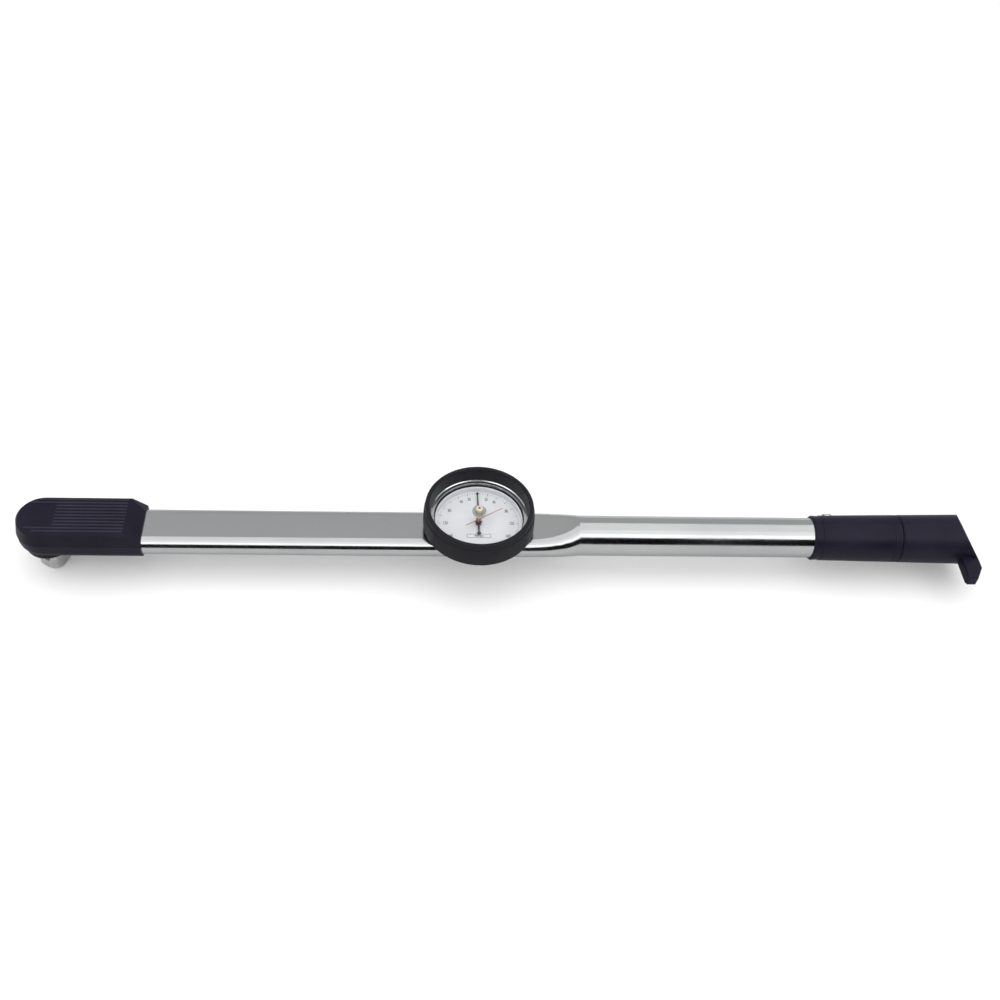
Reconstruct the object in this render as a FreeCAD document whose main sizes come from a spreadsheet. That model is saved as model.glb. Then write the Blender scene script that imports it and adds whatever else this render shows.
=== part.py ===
"""Dial torque wrench: flattened tube, plastic head, half-inch square drive, booted dial and hooked grip.

The frame: origin at the centre of the square drive's end face, +X along the tube towards the grip,
+Z up through the dial. All lengths are millimetres and all angles are degrees.
"""
import FreeCAD, Part
import math
import os

import Sketcher
from FreeCAD import Placement, Rotation, Vector

doc = FreeCAD.newDocument("torque_wrench")
sheet = doc.addObject("Spreadsheet::Sheet", "Sizes")

DRIVING = {
    "arm_length": 242.0,        # drive axis to dial axis
    "axis_height": 25.4,        # tube axis above the drive's end face
    "tube_radius": 11.5,
    "tube_wall": 1.5,
    "flat_half": 6.05,          # half the height of the flattened part of the tube
    "flat_end": 270.2,          # where the flattened part starts to turn round
    "round_start": 299.6,       # where the tube is fully round
    "tube_end": 515.0,
    "square_side": 12.7,        # half-inch male square
    "square_corner": 8.25,      # radius of the round bar that the square is milled from
    "square_length": 15.5,
    "journal_radius": 6.0,
    "running_gap": 0.05,        # radial clearance of every shaft in its bearing
    "ball_radius": 2.0,
    "ball_height": 8.0,
    "ball_proud": 0.9,
    "cover_length": 54.4,
    "cover_base": 16.0,         # half width of the head cover at its parting line
    "cover_top_half": 14.1,     # half width of the flat top
    "cover_top": 38.4,
    "cover_split": 29.4,
    "cover_wall": 1.2,
    "plateau_end": 46.0,
    "cover_end_top": 32.5,
    "boss_radius": 13.2,
    "boss_bottom": 15.8,
    "cheek_half": 12.0,
    "cheek_thick": 3.2,
    "pitch_radius": 2.0,        # of the pointer's pinion
    "gear_module": 0.25,
    "dial_face": 35.2,
    "dial_plate_thick": 0.9,
    "dial_plate_radius": 25.6,
    "spigot_radius": 24.6,
    "bezel_radius": 27.9,
    "lens_bottom": 39.4,
    "lens_thick": 1.6,
    "boot_top": 50.36,
    "boot_bottom": 35.0,
    "boot_radius": 31.5,
    "boot_rim_radius": 30.4,
    "knob_radius": 2.2,
    "knob_top": 48.2,
    "grip_start": 434.7,
    "grip_collar": 4.8,
    "grip_split": 486.0,
    "grip_front_radius": 13.0,
    "grip_end_radius": 14.56,
    "hook_inner": 521.4,        # edge of the hook that faces the tube
    "hook_reach": 29.0,
    "hook_thick": 7.4,
}


class Size:
    """A length with its value and the sheet formula that drives it, so sums stay bound to the sheet."""

    def __init__(self, value, formula):
        self.value = float(value)
        self.formula = formula

    def __add__(self, other):
        return join(self, "+", other)

    def __radd__(self, other):
        return join(other, "+", self)

    def __sub__(self, other):
        return join(self, "-", other)

    def __rsub__(self, other):
        return join(other, "-", self)

    def __mul__(self, factor):
        return Size(self.value * factor, "({} * {:.9f})".format(self.formula, factor))

    __rmul__ = __mul__

    def __neg__(self):
        return self * -1.0


def as_size(number):
    if isinstance(number, Size):
        return number
    return Size(number, "{:.9f}".format(number))


def join(left, sign, right):
    left = as_size(left)
    right = as_size(right)
    value = left.value + right.value if sign == "+" else left.value - right.value
    return Size(value, "({} {} {})".format(left.formula, sign, right.formula))


for row, (alias, number) in enumerate(DRIVING.items(), start=1):
    sheet.set("A{}".format(row), alias)
    sheet.set("B{}".format(row), str(number))
    sheet.setAlias("B{}".format(row), alias)
doc.recompute()


def size(alias):
    return Size(getattr(sheet, alias), "Sizes.{}".format(alias))


subparts = []


# ---------------------------------------------------------------- sketch and feature helpers

def bind(item, prop, length):
    """Set a property from the sheet."""
    item.setExpression(prop, as_size(length).formula)


def new_body(label, x=0.0, y=0.0, z=0.0, keep=True):
    """A named body whose own origin stands at x, y, z."""
    body = doc.addObject("PartDesign::Body", label)
    body.Label = label
    for axis, length in (("x", x), ("y", y), ("z", z)):
        if isinstance(length, Size) or length:
            bind(body, "Placement.Base.{}".format(axis), length)
    if keep:
        subparts.append(body)
    return body


def new_sketch(body, plane, offset=0.0, turn=0.0):
    """A sketch on one of the body's own planes: XY looks along Z, XZ along -Y, YZ along X."""
    sketch = body.newObject("Sketcher::SketchObject", body.Label + "_sketch")
    base = [f for f in body.Origin.OriginFeatures if f.Role == plane + "_Plane"][0]
    sketch.AttachmentSupport = [(base, "")]
    sketch.MapMode = "FlatFace"
    sketch.AttachmentOffset = Placement(Vector(0, 0, as_size(offset).value), Rotation(Vector(0, 0, 1), turn))
    if isinstance(offset, Size):
        bind(sketch, "AttachmentOffset.Base.z", offset)
    return sketch


def tilted_sketch(body, placement):
    """A sketch on any plane, given in the body's own frame."""
    sketch = new_sketch(body, "XY")
    sketch.AttachmentOffset = placement
    return sketch


def pin_point(sketch, edge, end, x, y):
    """Hold one end of an edge at x, y from the sketch's origin."""
    for kind, length in (("DistanceX", as_size(x)), ("DistanceY", as_size(y))):
        index = sketch.addConstraint(Sketcher.Constraint(kind, -1, 1, edge, end, length.value))
        bind(sketch, "Constraints[{}]".format(index), length)


def arc_centre(start, end, radius):
    """Centre of an arc; a positive radius turns anticlockwise from start to end."""
    chord = end - start
    half = chord.Length / 2.0
    rise = math.sqrt(max(radius * radius - half * half, 0.0))
    side = Vector(-chord.y, chord.x, 0).normalize()
    if radius < 0:
        side = -side
    return (start + end) * 0.5 + side * rise


def outline(sketch, corners):
    """Close a loop of (x, y) corners; a third entry is the radius of the arc to the next corner."""
    first = sketch.GeometryCount
    points = [Vector(as_size(c[0]).value, as_size(c[1]).value, 0) for c in corners]
    count = len(corners)
    starts = []
    for i, corner in enumerate(corners):
        start = points[i]
        end = points[(i + 1) % count]
        if len(corner) == 2:
            sketch.addGeometry(Part.LineSegment(start, end), False)
            starts.append((1, 2))
            continue
        radius = as_size(corner[2]).value
        centre = arc_centre(start, end, radius)
        begin = math.atan2(start.y - centre.y, start.x - centre.x)
        finish = math.atan2(end.y - centre.y, end.x - centre.x)
        if radius < 0:
            begin, finish = finish, begin
        circle = Part.Circle(centre, Vector(0, 0, 1), abs(radius))
        sketch.addGeometry(Part.ArcOfCircle(circle, begin, finish), False)
        starts.append((1, 2) if radius > 0 else (2, 1))
    for i, corner in enumerate(corners):
        after = (i + 1) % count
        joint = Sketcher.Constraint("Coincident", first + i, starts[i][1], first + after, starts[after][0])
        sketch.addConstraint(joint)
        pin_point(sketch, first + i, starts[i][0], corner[0], corner[1])
        if len(corner) == 3:
            radius = as_size(corner[2])
            if radius.value < 0:
                radius = -radius
            index = sketch.addConstraint(Sketcher.Constraint("Radius", first + i, radius.value))
            bind(sketch, "Constraints[{}]".format(index), radius)
    return sketch


def ring(sketch, x, y, radius):
    """A full circle in a sketch."""
    edge = sketch.GeometryCount
    centre = Vector(as_size(x).value, as_size(y).value, 0)
    sketch.addGeometry(Part.Circle(centre, Vector(0, 0, 1), as_size(radius).value), False)
    pin_point(sketch, edge, 3, x, y)
    index = sketch.addConstraint(Sketcher.Constraint("Radius", edge, as_size(radius).value))
    bind(sketch, "Constraints[{}]".format(index), radius)
    return sketch


def box_outline(sketch, x_low, x_high, y_low, y_high):
    return outline(sketch, [(x_low, y_low), (x_high, y_low), (x_high, y_high), (x_low, y_high)])


def feature(body, kind, sketch, **settings):
    """Add a sketch-based feature; settings that are sizes stay bound to the sheet."""
    item = body.newObject("PartDesign::" + kind, "{}_{}".format(body.Label, kind.lower()))
    item.Profile = sketch
    for name, setting in settings.items():
        if isinstance(setting, Size):
            bind(item, name, setting)
        else:
            setattr(item, name, setting)
    return item


def pad(body, sketch, length, **settings):
    return feature(body, "Pad", sketch, Length=length, **settings)


def cut(body, sketch, length, along_normal=True):
    """Cut a pocket; along_normal sends it the way that the sketch's plane faces."""
    return feature(body, "Pocket", sketch, Length=length, Reversed=along_normal)


def slice_off(body, point, normal, reach=40.0):
    """Cut away all of a body that stands on the side of a plane to which its normal points."""
    plane = tilted_sketch(body, Placement(Vector(*point), Rotation(Vector(0, 0, 1), Vector(*normal))))
    box_outline(plane, -reach, reach, -reach, reach)
    cut(body, plane, reach)


def spin(body, sketch, kind="Revolution", axis="V_Axis"):
    return feature(body, kind, sketch, ReferenceAxis=(sketch, [axis]), Angle=360.0)


def turned(label, profile, x=0.0, y=0.0, z=0.0, keep=True):
    """A piece turned about its own Z axis from a closed (radius, height) profile."""
    body = new_body(label, x, y, z, keep)
    spin(body, outline(new_sketch(body, "XZ"), profile))
    return body


def turned_along_x(label, profile):
    """A piece turned about the tube's axis from a closed (x, radius) profile."""
    body = new_body(label, z=axis_height)
    spin(body, outline(new_sketch(body, "XZ"), profile), axis="H_Axis")
    return body


def pattern_about_z(body, original, angle, count):
    """Repeat a feature about the body's Z axis."""
    pattern = body.newObject("PartDesign::PolarPattern", body.Label + "_pattern")
    pattern.Originals = [original]
    pattern.Axis = ([f for f in body.Origin.OriginFeatures if f.Role == "Z_Axis"][0], [""])
    pattern.Angle = angle
    pattern.Occurrences = count
    body.Tip = pattern
    return pattern


def capsule(body, half_profile, length, add=True):
    """Sweep a half section round the nose and along +X: a round end that runs into a straight run."""
    section = [c for c in half_profile if as_size(c[0]).value > 0]
    nose = outline(new_sketch(body, "XZ"), half_profile)
    spin(body, nose, "Revolution" if add else "Groove")
    whole = section + [mirror_corner(section, i) for i in range(len(section) - 1, -1, -1)]
    run = outline(new_sketch(body, "YZ"), whole)
    if add:
        pad(body, run, length)
    else:
        cut(body, run, length)


def mirror_corner(section, i):
    """The corner opposite section[i]; its arc is that of the edge before it, walked backwards."""
    corner = section[i]
    flipped = (-as_size(corner[0]), corner[1])
    before = section[i - 1] if i > 0 else None
    if before and len(before) == 3:
        return flipped + (before[2],)
    return flipped


def fillet(body, chosen, radius):
    """Round the edges of the body's tip whose midpoint passes the test."""
    doc.recompute()
    tip = body.Tip
    names = []
    for i, edge in enumerate(tip.Shape.Edges, start=1):
        middle = edge.valueAt((edge.FirstParameter + edge.LastParameter) / 2.0)
        if chosen(middle, edge):
            names.append("Edge{}".format(i))
    item = body.newObject("PartDesign::Fillet", body.Label + "_fillet")
    item.Base = (tip, names)
    item.Radius = radius
    body.Tip = item
    return item


def group(label, master, places):
    """Copies of one fastener as separate solids in one sub-part."""
    doc.recompute()
    copies = []
    for place in places:
        copy = master.Tip.Shape.copy()
        copy.Placement = place.multiply(copy.Placement)
        copies.append(copy)
    item = doc.addObject("Part::Feature", label)
    item.Label = label
    item.Shape = Part.makeCompound(copies)
    subparts.append(item)
    return item


def screw(label, shank, length, head, head_height, countersunk):
    """A socket screw standing head up, its head's top at z = 0; not a sub-part by itself."""
    if countersunk:
        rim = [(head, 0.0), (head, -0.25), (shank, -head_height)]
    else:
        rim = [(head - 0.3, 0.0), (head, -0.3), (head, -head_height), (shank, -head_height)]
    profile = [(0.0, 0.0)] + rim + [(shank, 0.4 - length), (shank - 0.4, -length), (0.0, -length)]
    body = turned(label, profile, keep=False)
    socket = head * 0.5
    corners = [(socket * math.cos(k * math.pi / 3), socket * math.sin(k * math.pi / 3)) for k in range(6)]
    cut(body, outline(new_sketch(body, "XY"), corners), head_height * 0.6, along_normal=False)
    return body


def at(x, y, z, turn_axis=(1, 0, 0), turn=0.0):
    return Placement(Vector(x, y, z), Rotation(Vector(*turn_axis), turn))


# ---------------------------------------------------------------- shared sizes

arm_length = size("arm_length")
axis_height = size("axis_height")
tube_radius = size("tube_radius")
tube_wall = size("tube_wall")
flat_half = size("flat_half")
gap = size("running_gap")
bore_radius = tube_radius - tube_wall
flat_run = (tube_radius - flat_half) * (math.pi / 2)    # keeps the girth of the round tube
flat_top = axis_height + flat_half
flat_bottom = axis_height - flat_half
inside_top = flat_top - tube_wall
inside_bottom = flat_bottom + tube_wall
journal = size("journal_radius")
spindle_radius = size("square_corner")
cover_length = size("cover_length")
cover_split = size("cover_split")

CHEEK_ROOM = 0.3            # clearance of the head cover round the upper cheek
CHEEK_END = 43.5            # how far the upper cheek runs along the tube
CHEEK_SCREWS = [(22.0, 8.0), (22.0, -8.0), (38.0, 8.0), (38.0, -8.0)]
LOWER_CHEEK_BOTTOM = 16.6
BUSH_WALL = 1.15
COVER_SCREWS = [(27.0, 0.0), (45.0, 0.0)]

SQUARE_TURN = -25.0         # of the drive square about its axis, at rest
SQUARE_SWING = Placement(Vector(0, 0, 0), Rotation(Vector(0, 0, 1), SQUARE_TURN))
BALL_HOLE_DEPTH = 8.4       # from the square's face to the floor under the detent spring

BEAM_BOTTOM = 21.4
BEAM_TOP = 26.0
KEY_RADIUS = 1.3            # of the round keys between spindle and beam
ARM_THICK = 1.2             # of the measuring arm
ARM_SCREWS = [(15.0, 4.5), (15.0, -4.5)]
BLOCK_SCREWS = [(210.0, 5.0), (210.0, -5.0)]

HOUSING_SCREWS = [(13.0, 6.0), (13.0, -6.0), (-13.0, 6.0), (-13.0, -6.0)]
APERTURE = 8.0              # radius of the hole in the tube under the dial
PLATE_THICK = 1.2           # of the movement's two plates
LOWER_PLATE = 21.4          # underside of the lower one
PILLARS = [(9.0, 8.0), (9.0, -8.0)]
MEMORY_REST = 58.0          # clockwise from zero

LOCK_LEAN = 50.0            # of the grip's lock screw, from straight up towards +Y
LOCK_SCREW = 1.6            # radius of its shank
LOCK_HEAD = 2.7             # radius of its head
LOCK_SCREW_SET = 5.5        # from the collar to the screw


def tube_section(run, half):
    """Flattened tube section about the tube's axis: two flats of twice run, rounded at the sides."""
    side = run + half
    return [(run, -half, half), (side, 0.0, half), (run, half),
            (-run, half, half), (-side, 0.0, half), (-run, -half)]


def round_section(radius):
    """Round section cut at the same six corners as the flattened one."""
    seam = 0.35
    top = math.sqrt(radius.value ** 2 - seam ** 2)
    return [(seam, -top, radius), (radius, 0.0, radius), (seam, top, radius),
            (-seam, top, radius), (-radius, 0.0, radius), (-seam, -top, radius)]


def nose_profile(half):
    """Half of the flattened section, for a round nose, as (radius, height above the tube's axis)."""
    side = flat_run + half
    return [(0.0, -half), (flat_run, -half, half), (side, 0.0, half), (flat_run, half), (0.0, half)]


# ---------------------------------------------------------------- tube

def tube_skin(body, radius, half, add):
    """One skin of the tube, outer or inner: nose, flat run, transition and round run.

    The flats of the transition narrow along a curve that is blunt where the tube becomes round.
    """
    flat_end = size("flat_end")
    round_start = size("round_start")
    nose = outline(new_sketch(body, "XZ"), nose_profile(half))
    spin(body, nose, "Revolution" if add else "Groove")
    run = outline(new_sketch(body, "YZ"), tube_section(flat_run, half))
    shaped = pad if add else cut
    shaped(body, run, flat_end)
    steps = 5
    bluntness = 0.7
    sections = []
    for i in range(steps + 1):
        part = i / steps
        swing = part * math.pi / 2
        x = flat_end + (round_start - flat_end) * (bluntness * math.sin(swing) + (1.0 - bluntness) * part)
        sketch = new_sketch(body, "YZ", x)
        if i < steps:
            straight = flat_run * math.cos(swing)
            outline(sketch, tube_section(straight, radius - straight * (2 / math.pi)))
        else:
            outline(sketch, round_section(radius))
        sections.append(sketch)
    loft = body.newObject("PartDesign::AdditiveLoft" if add else "PartDesign::SubtractiveLoft", "transition")
    loft.Profile = sections[0]
    loft.Sections = sections[1:]
    end = outline(new_sketch(body, "YZ", round_start), round_section(radius))
    shaped(body, end, size("tube_end") - round_start)


def make_tube():
    body = new_body("tube", z=axis_height)
    tube_skin(body, tube_radius, flat_half, True)
    tube_skin(body, bore_radius, flat_half - tube_wall, False)
    bush_hole = ring(new_sketch(body, "XY"), 0.0, 0.0, journal + gap + BUSH_WALL)
    cut(body, bush_hole, flat_half + 1.0)
    spindle_hole = ring(new_sketch(body, "XY"), 0.0, 0.0, spindle_radius + gap + BUSH_WALL)
    cut(body, spindle_hole, flat_half + 1.0, along_normal=False)
    top_holes = new_sketch(body, "XY")
    ring(top_holes, arm_length, 0.0, APERTURE)
    for x, y in HOUSING_SCREWS:
        ring(top_holes, arm_length + x, y, 1.25)
    for x, y in CHEEK_SCREWS:
        ring(top_holes, x, y, 1.6)
    cut(body, top_holes, flat_half + 1.0)
    under_holes = new_sketch(body, "XY")
    for x, y in COVER_SCREWS + BLOCK_SCREWS:
        ring(under_holes, x, y, 1.5)
    cut(body, under_holes, flat_half + 1.0, along_normal=False)
    lock_x = size("grip_start") + size("grip_collar") + LOCK_SCREW_SET
    leaning = tilted_sketch(body, Placement(Vector(0, 0, 0), Rotation(Vector(1, 0, 0), -LOCK_LEAN)))
    cut(body, ring(leaning, lock_x, 0.0, LOCK_SCREW), tube_radius + 1.0)


# ---------------------------------------------------------------- head

def make_cheeks():
    half = size("cheek_half")
    upper = new_body("upper_cheek", z=flat_top)
    profile = [(0.0, 0.0), (half, 0.0), (half, size("cheek_thick")), (0.0, size("cheek_thick"))]
    capsule(upper, profile, CHEEK_END)
    holes = ring(new_sketch(upper, "XY"), 0.0, 0.0, journal + gap + BUSH_WALL)
    for x, y in CHEEK_SCREWS:
        ring(holes, x, y, 1.6)
    cut(upper, holes, size("cheek_thick"))
    countersinks = new_sketch(upper, "XY", size("cheek_thick"))
    for x, y in CHEEK_SCREWS:
        ring(countersinks, x, y, 2.9)
    cut(upper, countersinks, 1.7, along_normal=False)
    inner = spindle_radius + gap + BUSH_WALL
    turned("lower_cheek", [(inner, LOWER_CHEEK_BOTTOM), (half, LOWER_CHEEK_BOTTOM),
                           (half, flat_bottom), (inner, flat_bottom)])
    bolt = screw("cheek_screw", 1.6, 4.6, 2.9, 1.7, True)
    head_top = flat_top.value + size("cheek_thick").value
    group("cheek_screws", bolt, [at(x, y, head_top) for x, y in CHEEK_SCREWS])


def make_bushes():
    for label, radius, low, high in (
            ("upper_bush", journal, inside_top, flat_top + size("cheek_thick")),
            ("lower_bush", spindle_radius, as_size(LOWER_CHEEK_BOTTOM), inside_bottom)):
        inner = radius + gap
        outer = inner + BUSH_WALL
        turned(label, [(inner, low), (outer, low), (outer, high), (inner, high)])


def make_upper_cover():
    """Ribbed top half of the plastic head cover, with a sloped end over the tube."""
    base = size("cover_base")
    top_half = size("cover_top_half")
    top = size("cover_top")
    wall = size("cover_wall")
    body = new_body("head_cover_upper")
    edge = 1.3
    shell = [(0.0, cover_split), (base, cover_split), (top_half + 0.35, top - edge),
             (top_half - 0.9, top), (0.0, top)]
    capsule(body, shell, cover_length)
    slope = new_sketch(body, "XZ", 20.0)
    outline(slope, [(size("plateau_end"), top), (cover_length, size("cover_end_top")),
                    (cover_length + 5.0, size("cover_end_top")), (cover_length + 5.0, top + 2.0),
                    (size("plateau_end"), top + 2.0)])
    cut(body, slope, 40.0, along_normal=False)
    shoulder_half = 13.8
    shoulder_lean = 0.43
    for side in (1.0, -1.0):
        shoulder = (size("plateau_end").value, side * shoulder_half, top.value)
        slice_off(body, shoulder, (0.94, side * shoulder_lean, 1.0))
    room = size("cheek_half") + CHEEK_ROOM
    cavity = [(0.0, cover_split), (room, cover_split), (room, top - wall), (0.0, top - wall)]
    capsule(body, cavity, CHEEK_END + CHEEK_ROOM, add=False)
    seat = [(0.0, cover_split), (flat_run + flat_half, cover_split), (flat_run + flat_half, flat_top),
            (0.0, flat_top)]
    spin(body, outline(new_sketch(body, "XZ"), seat), "Groove")
    channel = [(y, z + axis_height) + tuple(arc) for y, z, *arc in tube_section(flat_run, flat_half)]
    cut(body, outline(new_sketch(body, "YZ"), channel), cover_length)
    ribs = new_sketch(body, "XY", top)
    pitch = 2.35
    rib = 0.5
    nose_radius = top_half.value - 1.4
    for k in range(-5, 6):
        y = k * pitch
        outer_rib = abs(k) > 3
        start = -math.sqrt(nose_radius ** 2 - (abs(y) + rib) ** 2) if outer_rib else 6.8
        box_outline(ribs, start, size("plateau_end") - 0.5, y - rib, y + rib)
    pad(body, ribs, 0.36)


def make_lower_cover():
    """Bottom half of the head cover: it follows the tube's belly and holds the round boss of the drive."""
    wall = size("cover_wall")
    half = flat_half + wall
    split = cover_split - axis_height
    body = new_body("head_cover_lower", z=axis_height)
    base = size("cover_base")
    belly = [(0.0, -half), (flat_run, -half, half), (flat_run + half, 0.0), (base, split), (0.0, split)]
    capsule(body, belly, cover_length)
    boss_radius = size("boss_radius")
    boss_low = size("boss_bottom") - axis_height
    boss = [(0.0, boss_low), (boss_radius - 0.8, boss_low), (boss_radius, boss_low + 0.8),
            (boss_radius, -flat_half + 1.0), (0.0, -flat_half + 1.0)]
    spin(body, outline(new_sketch(body, "XZ"), boss))
    capsule(body, nose_profile(flat_half), cover_length, add=False)
    corner_cut = [(0.0, 0.0), (flat_run + flat_half, 0.0), (flat_run + flat_half, split), (0.0, split)]
    spin(body, outline(new_sketch(body, "XZ"), corner_cut), "Groove")
    pit = [(0.0, LOWER_CHEEK_BOTTOM - axis_height), (size("cheek_half"), LOWER_CHEEK_BOTTOM - axis_height),
           (size("cheek_half"), -flat_half + 1.0), (0.0, -flat_half + 1.0)]
    spin(body, outline(new_sketch(body, "XZ"), pit), "Groove")
    cut(body, ring(new_sketch(body, "XY"), 0.0, 0.0, spindle_radius + 0.35), 14.0, along_normal=False)
    screw_holes = new_sketch(body, "XY")
    for x, y in COVER_SCREWS:
        ring(screw_holes, x, y, 1.5)
    cut(body, screw_holes, 14.0, along_normal=False)
    bolt = screw("cover_screw", 1.5, 2.9, 2.6, 1.1, False)
    low = axis_height.value - half.value - 1.1
    group("cover_screws", bolt, [at(x, y, low, turn=180.0) for x, y in COVER_SCREWS])


# ---------------------------------------------------------------- drive, beam and measuring arm

def make_spindle():
    """Round bar with the square milled on its lower end and a ring groove near the top."""
    top = 36.6
    groove_low = 34.95
    groove_high = 35.6
    groove = journal - 0.7
    body = turned("drive_spindle", [
        (0.0, 0.0), (spindle_radius - 1.9, 0.0), (spindle_radius, 1.9), (spindle_radius, BEAM_TOP),
        (journal, BEAM_TOP), (journal, groove_low), (groove, groove_low), (groove, groove_high),
        (journal, groove_high), (journal, top - 0.5), (journal - 0.5, top), (0.0, top)])
    half = size("square_side") * 0.5
    length = size("square_length")
    wide = spindle_radius + 2.0
    frame = new_sketch(body, "XY", turn=SQUARE_TURN)
    box_outline(frame, -wide, wide, -wide, wide)
    box_outline(frame, -half, half, -half, half)
    cut(body, frame, length)
    facing = Placement(SQUARE_SWING.multVec(Vector(0, -half.value, 0)),
                       SQUARE_SWING.Rotation * Rotation(Vector(1, 0, 0), 90.0))
    ball_hole = ring(tilted_sketch(body, facing), 0.0, size("ball_height"), size("ball_radius") + gap)
    cut(body, ball_hole, BALL_HOLE_DEPTH, along_normal=False)
    keyways = new_sketch(body, "XY", BEAM_BOTTOM)
    for side in (1.0, -1.0):
        ring(keyways, 0.0, spindle_radius * side, KEY_RADIUS)
    cut(body, keyways, BEAM_TOP - BEAM_BOTTOM)


def make_detent():
    radius = size("ball_radius").value
    face = -size("square_side").value / 2
    centre = face - size("ball_proud").value + radius
    height = size("ball_height").value
    ball = doc.addObject("Part::Sphere", "detent_ball")
    bind(ball, "Radius", size("ball_radius"))
    ball.Label = "detent_ball"
    ball.Placement = SQUARE_SWING * at(0.0, centre, height)
    subparts.append(ball)
    wire = 0.25
    coil = 1.45
    start = centre + radius + size("ball_proud").value + 0.25
    floor = face + BALL_HOLE_DEPTH
    turns = 4
    pitch = (floor - start - 2 * wire) / turns
    helix = Part.makeHelix(pitch, pitch * turns, coil)
    section = Part.Wire(Part.makeCircle(wire, Vector(coil, 0, 0), Vector(0, 1, 0)))
    shape = Part.Wire(helix).makePipeShell([section], True, True)
    item = doc.addObject("Part::Feature", "detent_spring")
    item.Label = "detent_spring"
    item.Shape = shape
    item.Placement = SQUARE_SWING * at(0.0, start + wire, height, turn=-90.0)
    subparts.append(item)


def make_beam():
    """Tapered spring beam with a round eye on the spindle and a tongue at its far end."""
    body = new_body("deflection_beam")
    eye = 10.0
    root = 8.6
    tip = 6.0
    shoulder = 190.0
    tongue = 204.0
    tongue_half = 1.6
    thick = BEAM_TOP - BEAM_BOTTOM
    pad(body, ring(new_sketch(body, "XY", BEAM_BOTTOM), 0.0, 0.0, eye), thick)
    outline_points = [(0.0, -root), (shoulder, -tip), (shoulder, -tongue_half), (tongue, -tongue_half),
                      (tongue, tongue_half), (shoulder, tongue_half), (shoulder, tip), (0.0, root)]
    pad(body, outline(new_sketch(body, "XY", BEAM_BOTTOM), outline_points), thick)
    holes = ring(new_sketch(body, "XY", BEAM_BOTTOM), 0.0, 0.0, spindle_radius)
    cut(body, holes, thick)
    keyways = new_sketch(body, "XY", BEAM_BOTTOM)
    for side in (1.0, -1.0):
        ring(keyways, 0.0, spindle_radius * side, KEY_RADIUS)
    for x, y in ARM_SCREWS:
        ring(keyways, x, y, 1.0)
    cut(body, keyways, thick)
    key = turned("drive_key", [(0.0, 0.0), (KEY_RADIUS, 0.0), (KEY_RADIUS, thick), (0.0, thick)], keep=False)
    radius = spindle_radius.value
    group("drive_keys", key, [at(0.0, radius, BEAM_BOTTOM), at(0.0, -radius, BEAM_BOTTOM)])


def make_circlip():
    """Open retaining ring in the spindle's groove, above the upper cheek."""
    body = new_body("spindle_circlip")
    inner = journal - 0.7
    outer = journal + 1.6
    pad(body, ring(ring(new_sketch(body, "XY", 34.98), 0.0, 0.0, inner), 0.0, 0.0, outer), 0.55)
    mouth = box_outline(new_sketch(body, "XY", 34.98), 2.0, 9.0, -1.6, 1.6)
    cut(body, mouth, 0.55)


def make_measuring_arm():
    """Flat arm that carries the drive's turn to a toothed sector under the dial."""
    body = new_body("measuring_arm")
    module = size("gear_module").value
    sector_pitch = arm_length.value - size("pitch_radius").value
    tip_radius = sector_pitch + 0.8 * module
    reach = math.radians(1.6)
    x_tip = tip_radius * math.cos(reach)
    y_tip = tip_radius * math.sin(reach)
    plate = new_sketch(body, "XY", BEAM_TOP)
    outline(plate, [(6.0, -7.0), (30.0, -4.2), (226.0, -3.2), (233.0, -y_tip), (x_tip, -y_tip, tip_radius),
                    (x_tip, y_tip), (233.0, y_tip), (226.0, 3.2), (30.0, 4.2), (6.0, 7.0)])
    pad(body, plate, ARM_THICK)
    pad(body, ring(new_sketch(body, "XY", BEAM_TOP), 0.0, 0.0, 9.2), ARM_THICK)
    holes = ring(new_sketch(body, "XY", BEAM_TOP), 0.0, 0.0, journal)
    for x, y in ARM_SCREWS:
        ring(holes, x, y, 1.0)
    cut(body, holes, ARM_THICK)
    space = math.pi * module / 2
    thin = 0.02
    slant = math.tan(math.radians(20.0))
    mouth = space / 2 + thin + 0.8 * module * slant + 0.01
    root_depth = 1.1 * module
    bottom = space / 2 + thin - root_depth * slant
    turn = math.degrees(math.pi * module / sector_pitch)
    teeth = 17
    first = -turn * (teeth - 1) / 2
    notch = new_sketch(body, "XY", BEAM_TOP, turn=first)
    outline(notch, [(sector_pitch - root_depth, -bottom), (tip_radius + 0.05, -mouth),
                    (tip_radius + 0.05, mouth), (sector_pitch - root_depth, bottom)])
    pattern_about_z(body, cut(body, notch, ARM_THICK), turn * (teeth - 1), teeth)
    bolt = screw("arm_screw", 1.0, 5.2, 1.9, 1.3, False)
    top = BEAM_TOP + ARM_THICK + 1.3
    group("arm_screws", bolt, [at(x, y, top) for x, y in ARM_SCREWS])


def make_load_block():
    """Block inside the tube that the beam's tongue works in."""
    body = new_body("load_block")
    start = 196.0
    end = 214.0
    half = 8.4
    slot_half = 6.6
    slot_end = 205.5
    height = 25.0 - inside_bottom
    pad(body, box_outline(new_sketch(body, "XY", inside_bottom), start, end, -half, half), height)
    slot = new_sketch(body, "XY", inside_bottom)
    cut(body, box_outline(slot, start - 1.0, slot_end, -slot_half, slot_half), height)
    holes = new_sketch(body, "XY", inside_bottom)
    for x, y in BLOCK_SCREWS:
        ring(holes, x, y, 1.5)
    cut(body, holes, 3.0)
    bolt = screw("block_screw", 1.5, 5.4, 2.5, 1.0, False)
    group("load_block_screws", bolt,
          [at(x, y, flat_bottom.value - 1.0, turn=180.0) for x, y in BLOCK_SCREWS])


# ---------------------------------------------------------------- movement

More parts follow.
